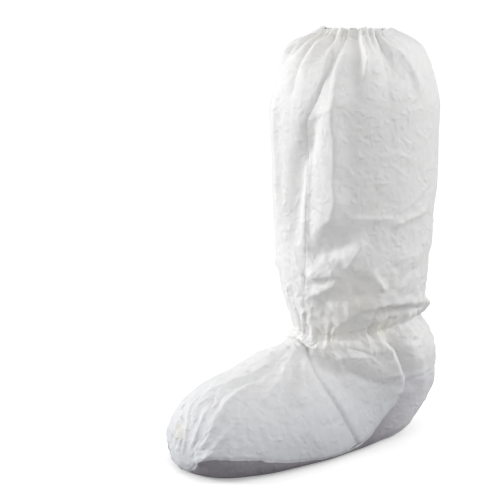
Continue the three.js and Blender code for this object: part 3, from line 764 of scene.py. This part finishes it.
def sheet_object(name, at, angle, material, offset=0.0, wall=WALL):
    """A sheet of cloth over a grid of places."""
    out = surface(at, angle, offset)
    into = out - outward_normals(out) * wall
    into[..., 2] = np.maximum(into[..., 2], np.minimum(wall, out[..., 2] + wall))
    return two_skins(name, out, into, cloth_uvs(at, angle), material)


def outward_normals(points):
    """Normals of a grid of points, along rows first."""
    return unit(np.cross(np.gradient(points, axis=0), np.gradient(points, axis=1)))


def weld(obj):
    """Joins vertices that fall together, such as the two ends of a row that goes all round."""
    work = bmesh.new()
    work.from_mesh(obj.data)
    bmesh.ops.remove_doubles(work, verts=work.verts, dist=WELD_DISTANCE * METRE)
    work.to_mesh(obj.data)
    work.free()
    obj.data.validate()
    obj.data.set_sharp_from_angle(angle=math.radians(SHARP_ANGLE))


# Where the panels lie. Each function gives the stations and the angles of a grid.

SLOT = 0.5  # from a seam's middle to the edge of a panel


def leg_places(rows=150, columns=300):
    share = np.linspace(0, 1, rows)
    at = CASING_EDGE + (ANKLE - CASING_EDGE) * (share + 0.05 * np.sin(2 * np.pi * share))
    angle = front_seam_angle(at)
    edge = SLOT / frame_at(at, angle)[1]
    turn = (360 - 2 * edge)[:, None] * np.linspace(0, 1, columns)
    return np.repeat(at[:, None], columns, axis=1), (angle + edge)[:, None] + turn


def heel_side(front=90, back=70):
    """The heel panel on one side: the upper edge's angles, and the lower edge's stations and angles."""
    share = np.linspace(0, 1, front) ** 1.2
    angle = upper_half_angle(np.full(front, CORNER["at"]), SLOT) * share
    at = np.maximum(beside_slant(angle, -SLOT), ANKLE + 0.25)
    row = np.linspace(HEEL_ROWS - 0.4, 0, back)
    low_at = sole_station(row, SLOT)
    low_angle = np.where(row > 0, upper_half_angle(low_at, SLOT), 180.0)
    last = len(SOLE_COLUMN_TOPS) - 1
    tops = np.interp(row, np.arange(last + 1), SOLE_COLUMN_TOPS)
    tops = np.where(row > last, SOLE_COLUMN_TOPS[-1] - SOLE_COLUMN_STEP * (row - last), tops)
    return (
        np.concatenate([CORNER["top_angle"] * share, tops]),
        np.concatenate([at, low_at]),
        np.concatenate([angle, low_angle]),
    )


def heel_places(rows=75):
    top, at, angle = heel_side()
    top = np.concatenate([-top[::-1], top[1:]])
    angle = np.concatenate([-angle[::-1], angle[1:]])
    at = np.concatenate([at[::-1], at[1:]])
    share = np.linspace(0, 1, rows)[:, None]
    start = ANKLE - 0.004
    return start + (at - start) * share, top + (angle - top) * share ** CORNER["bend"]


def vamp_places(rows=115, columns=190):
    share = np.linspace(0, 1, columns // 2 + 1) ** 1.1
    across = np.concatenate([-share[:0:-1], share])
    beside = sole_station(np.linspace(HEEL_ROWS, SOLE_ROWS, rows - 3), SLOT)
    flat = np.concatenate([[CORNER["vamp_at"]], beside, [TOE - 0.06, TOE]])
    angle = upper_half_angle(flat, SLOT)[:, None] * across
    start = beside_slant(angle, SLOT)
    along = ((flat - CORNER["vamp_at"]) / (TOE - CORNER["vamp_at"]))[:, None]
    return start + (TOE - start) * along, angle


def sole_places(rows=150, columns=61):
    at = sole_station(np.linspace(0, SOLE_ROWS, rows), -SLOT)
    across = np.linspace(-1, 1, columns)
    return np.repeat(at[:, None], columns, axis=1), 180 + across * sole_half_angle(at, -SLOT)[:, None]


# Materials

# The cloth is painted darker and bluer near the floor, which is painted shade, and a little warmer above it,
# between these heights in metres.
COOL_PAINTED_SHADE = (0.715, 0.727, 0.77)
WARM_TINT = (1.0, 0.995, 0.988)
TINT_FROM, TINT_TO = 0.01, 0.12
# Yellow of the warm spots: partly the elastic's own tone, partly painted warm light bounced in the folds.
YELLOW_TINT = (1.0, 0.975, 0.88)


def fill(made, inputs):
    """Sets a node's inputs, each to a value or to the socket that it is linked from."""
    for key, value in inputs.items():
        if isinstance(value, bpy.types.NodeSocket):
            made.id_data.links.new(value, made.inputs[key])
        else:
            made.inputs[key].default_value = value


def node(tree, kind, inputs=None, **settings):
    made = tree.nodes.new(kind)
    for key, value in settings.items():
        setattr(made, key, value)
    fill(made, inputs or {})
    return made


def ramp(tree, factor, stops):
    """A colour ramp. Each stop is a place from 0 to 1 and either a grey or a colour."""
    made = node(tree, "ShaderNodeValToRGB", {"Fac": factor})
    elements = made.color_ramp.elements
    while len(elements) < len(stops):
        elements.new(0.5)
    for element, (place, value) in zip(elements, stops):
        element.position = place
        element.color = (*value, 1) if hasattr(value, "__len__") else (value, value, value, 1)
    return made.outputs["Color"]


def mapped(tree, vector, scale, turn):
    """A vector that is turned by some degrees round Z and scaled."""
    inputs = {"Vector": vector, "Scale": scale, "Rotation": (0, 0, math.radians(turn))}
    return node(tree, "ShaderNodeMapping", inputs).outputs["Vector"]


def noise(tree, vector, scale, detail, roughness=0.5):
    inputs = {"Vector": vector, "Scale": scale, "Detail": detail, "Roughness": roughness}
    return node(tree, "ShaderNodeTexNoise", inputs).outputs["Fac"]


def math_node(tree, operation, a, b):
    return node(tree, "ShaderNodeMath", {0: a, 1: b}, operation=operation).outputs["Value"]


def object_place(tree):
    return node(tree, "ShaderNodeTexCoord").outputs["Object"]


def shaded_and_warmed(tree, colour):
    """The colour painted darker and bluer near the floor as painted shade, a little warmer above, and given a
    yellow tint in the warm spots, which is partly painted bounce light.
    """
    up = node(tree, "ShaderNodeSeparateXYZ", {"Vector": object_place(tree)}).outputs["Z"]
    limits = {"Value": up, "From Min": TINT_FROM, "From Max": TINT_TO}
    height = node(tree, "ShaderNodeMapRange", limits).outputs["Result"]
    warm = node(tree, "ShaderNodeAttribute", attribute_name="warm").outputs["Fac"]
    # The cool ramp is painted shade towards the floor; the yellow ramp is partly painted warm bounce light.
    tints = (
        ramp(tree, height, [(0.0, COOL_PAINTED_SHADE), (1.0, WARM_TINT)]),
        ramp(tree, warm, [(0.0, (1, 1, 1)), (1.0, YELLOW_TINT)]),
    )
    for tint in tints:
        layers = {0: 1.0, 6: colour, 7: tint}
        mix = node(tree, "ShaderNodeMix", layers, data_type="RGBA", blend_type="MULTIPLY")
        colour = mix.outputs[2]
    return colour


def cloth_bump(tree, pressed, fibre):
    """The normal of cloth with small crinkles, and on them the pressed dots and the fibres."""
    place = object_place(tree)
    ridges = {"Vector": place, "Scale": 115.0, "Detail": 5.0, "Roughness": 0.62, "Distortion": 0.5}
    crinkle = node(tree, "ShaderNodeTexNoise", ridges, noise_type="RIDGED_MULTIFRACTAL").outputs["Fac"]
    creased = node(tree, "ShaderNodeBump", {"Height": crinkle, "Strength": 1.0, "Distance": 0.0015})
    dots = ramp(tree, pressed, [(0.12, 0.0), (0.5, 1.0)])
    height = math_node(tree, "ADD", dots, math_node(tree, "MULTIPLY", fibre, 0.6))
    fine = {"Height": height, "Strength": 0.5, "Distance": 0.00022, "Normal": creased.outputs[0]}
    return node(tree, "ShaderNodeBump", fine).outputs["Normal"]


def cloth_material(name, light, dark, roughness, emboss, sheen=0.15):
    """Nonwoven: fine pressed dots in slanting rows, loose fibres, faint cloudiness and a crinkled surface."""
    material = bpy.data.materials.new(name)
    material.use_nodes = True
    tree = material.node_tree
    shader = tree.nodes["Principled BSDF"]
    place = node(tree, "ShaderNodeUVMap", uv_map="cloth").outputs["UV"]
    dotted = {"Vector": mapped(tree, place, (emboss, emboss, 1), 45), "Scale": 1.0, "Randomness": 0.12}
    pressed = node(tree, "ShaderNodeTexVoronoi", dotted, feature="F1").outputs["Distance"]
    fibre = noise(tree, mapped(tree, place, (60, 420, 1), 18), scale=1.0, detail=4.0, roughness=0.6)
    cloud = noise(tree, place, scale=9.0, detail=5.0, roughness=0.55)
    clouded = math_node(tree, "MULTIPLY", cloud, 0.75)
    mixed = math_node(tree, "ADD", clouded, math_node(tree, "MULTIPLY", fibre, 0.25))
    fill(
        shader,
        {
            "Base Color": shaded_and_warmed(tree, ramp(tree, mixed, [(0.3, dark), (0.62, light)])),
            "Normal": cloth_bump(tree, pressed, fibre),
            "Roughness": ramp(tree, fibre, [(0.3, roughness - 0.1), (0.7, roughness + 0.08)]),
            "Sheen Weight": sheen,
            "Sheen Roughness": 0.4,
            "Specular IOR Level": 0.35,
            "Subsurface Weight": 0.5,
            "Subsurface Radius": (1.0, 0.97, 0.92),
            "Subsurface Scale": 0.0015,
        },
    )
    return material


def shaded_sole_material(name, painted_shade, unshaded, roughness, emboss, shade_to, unshaded_from):
    """Sole cloth painted darker towards the toe and lighter towards the raised heel, along Y in metres: the
    dark is painted shade of the underside that faces the floor.
    """
    material = cloth_material(name, unshaded, unshaded, roughness, emboss, sheen=0.05)
    tree = material.node_tree
    place = object_place(tree)
    along = node(tree, "ShaderNodeSeparateXYZ", {"Vector": place}).outputs["Y"]
    patches = math_node(tree, "SUBTRACT", noise(tree, place, scale=45.0, detail=4.0), 0.5)
    wavy = math_node(tree, "ADD", along, math_node(tree, "MULTIPLY", patches, 0.03))
    limits = {"Value": wavy, "From Min": shade_to, "From Max": unshaded_from}
    spread = node(tree, "ShaderNodeMapRange", limits, interpolation_type="SMOOTHSTEP").outputs["Result"]
    fill(tree.nodes["Principled BSDF"], {"Base Color": ramp(tree, spread, [(0.0, painted_shade), (1.0, unshaded)])})
    return material


fabric = cloth_material("white_nonwoven", light=0.885, dark=0.83, roughness=0.62, emboss=46)
seam_fabric = cloth_material("seam_nonwoven", light=0.86, dark=0.8, roughness=0.66, emboss=46)
# The sole's dark colour towards the toe is painted shade over its own light grey.
sole_fabric = shaded_sole_material(
    "sole_nonwoven",
    painted_shade=(0.25, 0.235, 0.265),
    unshaded=(0.74, 0.73, 0.76),
    roughness=0.7,
    emboss=30,
    shade_to=0.03,
    unshaded_from=0.13,
)
elastic_fabric = cloth_material(
    "covered_elastic", light=(0.78, 0.75, 0.6), dark=(0.7, 0.67, 0.52), roughness=0.7, emboss=60
)


# The boot cover


def placed(obj, slot, *nodes):
    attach(obj, "root")
    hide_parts(*nodes)
    return obj


leg = placed(sheet_object("leg_cloth", *leg_places(), fabric), "fabric", "leg_panel")
heel = placed(sheet_object("heel_cloth", *heel_places(), fabric), "fabric", "heel_panel")
vamp = placed(sheet_object("vamp_cloth", *vamp_places(), fabric), "fabric", "vamp_panel")
sole = placed(sheet_object("sole_cloth", *sole_places(), sole_fabric), "sole", "sole_panel")


# The hem, from its stitched edge over the rim and down inside, as places of (station, offset in millimetres).
HEM_PROFILE = [
    (0.36, 0.0), (0.24, 0.5), (0.12, 0.6), (0.03, 0.35), (0.0, -0.4),
    (0.0, -1.3), (0.05, -2.1), (0.16, -2.6), (0.28, -2.5), (0.36, -2.1),
]
HEM_WALL = 0.5
HEM_GIRTH = 0.73  # millimetres of cloth to a degree round the hem
HEM_DEPTH = 20
ELASTIC_WALL = 0.7


def casing_object(columns=361):
    """The hem: the cloth goes up over the rim, round the elastic and down inside."""
    angle = np.linspace(0, 360, columns)
    outer = np.stack([surface(np.full(columns, at), angle, offset) for at, offset in HEM_PROFILE])
    inner = outer - outward_normals(outer[::-1])[::-1] * HEM_WALL
    along = np.linspace(0, HEM_DEPTH, len(HEM_PROFILE))[:, None]
    uv = np.stack(np.broadcast_arrays(angle[None, :] * HEM_GIRTH, along), axis=-1)
    return two_skins("hem_cloth", outer, inner, uv, fabric, turned=True)


hem = placed(casing_object(), "fabric", "top_casing")


def elastic_object(name, start, stop, offset, rows=7, columns=481):
    """A band of elastic between two stations, that follows the folded cloth on its inside."""
    angle, at = np.meshgrid(np.linspace(0, 360, columns), np.linspace(start, stop, rows))
    return sheet_object(name, at, angle, elastic_fabric, offset=offset, wall=ELASTIC_WALL)


top_band = placed(elastic_object("top_band", 0.07, 0.31, -0.6), "elastic", "top_elastic")
ankle_band = placed(elastic_object("ankle_band", 9.75, 10.15, -1.2), "elastic", "ankle_elastic")

# The seams: low rounded ridges of doubled cloth, in millimetres.
TUCK = {"half": 0.9, "proud": 0.7, "sunk": 0.15, "wall": 0.5}
ACROSS = np.linspace(-1, 1, 7)  # the places over a ridge's width


def tuck_object(name, at, angle):
    height = TUCK["proud"] * np.sqrt(1 - ACROSS**2) - TUCK["sunk"]
    offset = np.broadcast_to(height, at.shape)
    return sheet_object(name, at, angle, seam_fabric, offset=offset, wall=TUCK["wall"])


def front_seam_object(rows=240):
    at = np.linspace(CASING_EDGE + 0.03, ANKLE - 0.02, rows)
    angle = front_seam_angle(at)
    degrees = TUCK["half"] / frame_at(at, angle)[1]
    places = np.repeat(at[:, None], len(ACROSS), axis=1), angle[:, None] + degrees[:, None] * ACROSS
    return tuck_object("front_seam_tuck", *places)


def slant_seam_object(rows=260):
    reach = upper_half_angle(np.array([SLANT["station"]]), SLOT)[0] - 1
    along = np.linspace(-1, 1, rows)
    middle = reach * np.sign(along) * np.abs(along) ** 1.15
    angle = np.repeat(middle[:, None], len(ACROSS), axis=1)
    return tuck_object("slant_seam_tuck", beside_slant(angle, TUCK["half"] * ACROSS[None, ::-1]), angle)


def sole_seam_object(rows=401):
    step = np.linspace(-SOLE_ROWS, SOLE_ROWS, rows)[:, None]
    outwards = np.broadcast_to(TUCK["half"] * ACROSS[None, :], (rows, len(ACROSS)))
    at = sole_station(np.abs(step), outwards)
    return tuck_object("sole_seam_tuck", at, 180 + np.sign(step) * sole_half_angle(at, outwards))


front_tuck = placed(front_seam_object(), "seam", "front_seam")
slant_tuck = placed(slant_seam_object(), "seam", "slant_seam")
sole_tuck = placed(sole_seam_object(), "seam", "sole_seam")


# Studio

FLOOR_GLOW = 0.32
FLOOR_BOUNCE = (0.45, 0.45, 0.45, 1)
FLOOR_COLOUR = (0.9, 0.9, 0.9, 1)
FLOOR_SIZE = 40000  # half its side, in millimetres
SEEN_WORLD = 1.05  # the least brightness that the walls show
LIT_PLACE = (0, 0, 0.25)
CAMERA_PLACE = (1.198, -0.8437, 0.548)
CAMERA_YAW, CAMERA_PITCH = -57.29, -12.63
CAMERA_LENS, CAMERA_SENSOR = 100.2, 36


def linked_object(name, data, place, direction):
    """An object in the scene that points along a direction."""
    obj = bpy.data.objects.new(name, data)
    bpy.context.scene.collection.objects.link(obj)
    obj.location = place
    obj.rotation_euler = direction.to_track_quat("-Z", "Y").to_euler()
    return obj


def floor_material():
    """Pale paper. It shows white, and gives back only a part of the light that falls on it."""
    material = bpy.data.materials.new("studio_paper")
    material.use_nodes = True
    tree = material.node_tree
    seen = tree.nodes["Principled BSDF"]
    fill(seen, {"Base Color": FLOOR_COLOUR, "Roughness": 1.0, "Specular IOR Level": 0.0})
    fill(seen, {"Emission Color": (1, 1, 1, 1), "Emission Strength": FLOOR_GLOW})
    bounce = node(tree, "ShaderNodeBsdfDiffuse", {"Color": FLOOR_BOUNCE}).outputs["BSDF"]
    ray = node(tree, "ShaderNodeLightPath").outputs["Is Camera Ray"]
    mix = node(tree, "ShaderNodeMixShader", {0: ray, 1: bounce, 2: seen.outputs["BSDF"]})
    fill(tree.nodes["Material Output"], {"Surface": mix.outputs["Shader"]})
    return material


def add_floor():
    corners = [(x * FLOOR_SIZE, y * FLOOR_SIZE, 0) for x, y in ((-1, -1), (1, -1), (1, 1), (-1, 1))]
    new_object("studio_floor", corners, [(0, 1, 2, 3)], material=floor_material())


def add_light(name, place, size, power):
    light = bpy.data.lights.new(name, "AREA")
    light.shape = "DISK"
    light.size = size
    light.energy = power
    linked_object(name, light, place, Vector(LIT_PLACE) - Vector(place))


def add_world(horizon, zenith):
    """Pale walls all round the studio, brighter than what is overhead."""
    world = bpy.data.worlds.new("studio")
    bpy.context.scene.world = world
    world.use_nodes = True
    tree = world.node_tree
    direction = node(tree, "ShaderNodeTexCoord").outputs["Generated"]
    height = node(tree, "ShaderNodeSeparateXYZ", {"Vector": direction}).outputs["Z"]
    limits = {"Value": height, "To Min": horizon, "To Max": zenith}
    strength = node(tree, "ShaderNodeMapRange", limits).outputs["Result"]
    seen = node(tree, "ShaderNodeLightPath").outputs["Is Camera Ray"]
    strength = math_node(tree, "MAXIMUM", strength, math_node(tree, "MULTIPLY", seen, SEEN_WORLD))
    fill(tree.nodes["Background"], {"Color": (1, 1, 1, 1), "Strength": strength})


def add_camera():
    """The camera that was fitted to the photograph."""
    yaw, pitch = math.radians(CAMERA_YAW), math.radians(CAMERA_PITCH)
    level = math.cos(pitch)
    forward = Vector((math.sin(yaw) * level, math.cos(yaw) * level, math.sin(pitch)))
    camera = bpy.data.cameras.new("camera")
    camera.lens = CAMERA_LENS
    camera.sensor_width = CAMERA_SENSOR
    bpy.context.scene.camera = linked_object("camera", camera, CAMERA_PLACE, forward)


add_floor()
add_world(horizon=0.93, zenith=0.74)
add_light("key", (-1.6, -2.0, 0.8), size=0.9, power=36)
add_light("fill", (0.95, 1.2, 1.0), size=0.7, power=7)
add_camera()
bpy.context.scene.view_settings.view_transform = "Standard"
